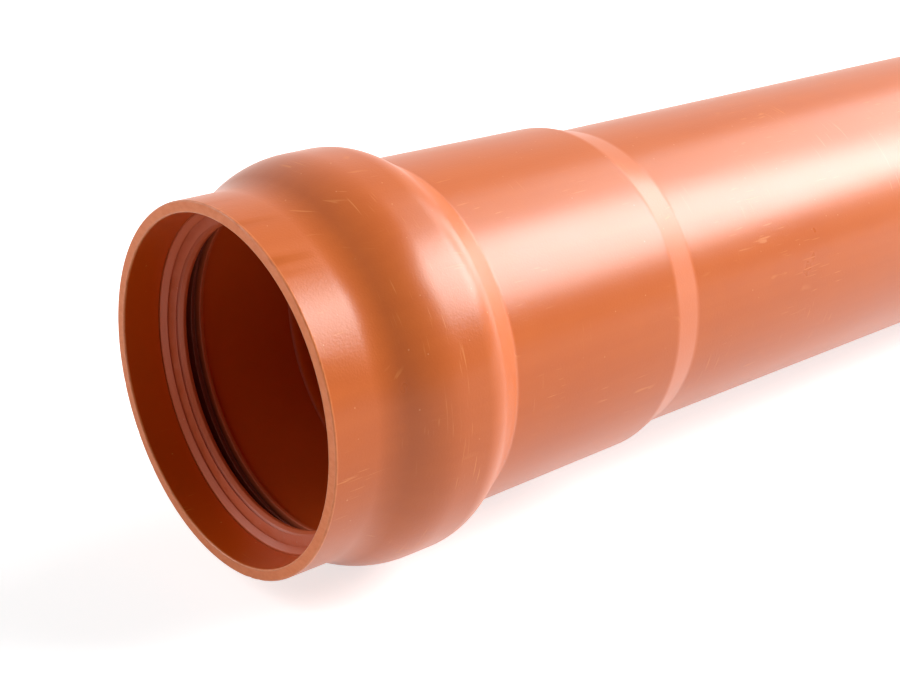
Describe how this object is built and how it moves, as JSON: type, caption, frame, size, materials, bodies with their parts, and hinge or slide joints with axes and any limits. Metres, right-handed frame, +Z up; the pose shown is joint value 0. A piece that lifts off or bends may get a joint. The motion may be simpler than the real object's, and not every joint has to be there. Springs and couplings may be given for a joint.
{
  "type": "sewer pipe",
  "caption": "Straight plastic sewer pipe with a plain end and a formed ring socket that holds a rubber sealing ring.",
  "frame": {"origin": "centre of the resting pipe's footprint, on the floor", "axes": "+X along the pipe from the socket towards the plain end, +Z up"},
  "size_m": [1.1432, 0.1333, 0.1334],
  "materials": {
    "pipe_plastic": "satin",
    "ring_rubber": "matt"
  },
  "bodies": {
    "root": {"pipe": "pipe_plastic", "sealing_ring": "ring_rubber"}
  },
  "joints": []
}
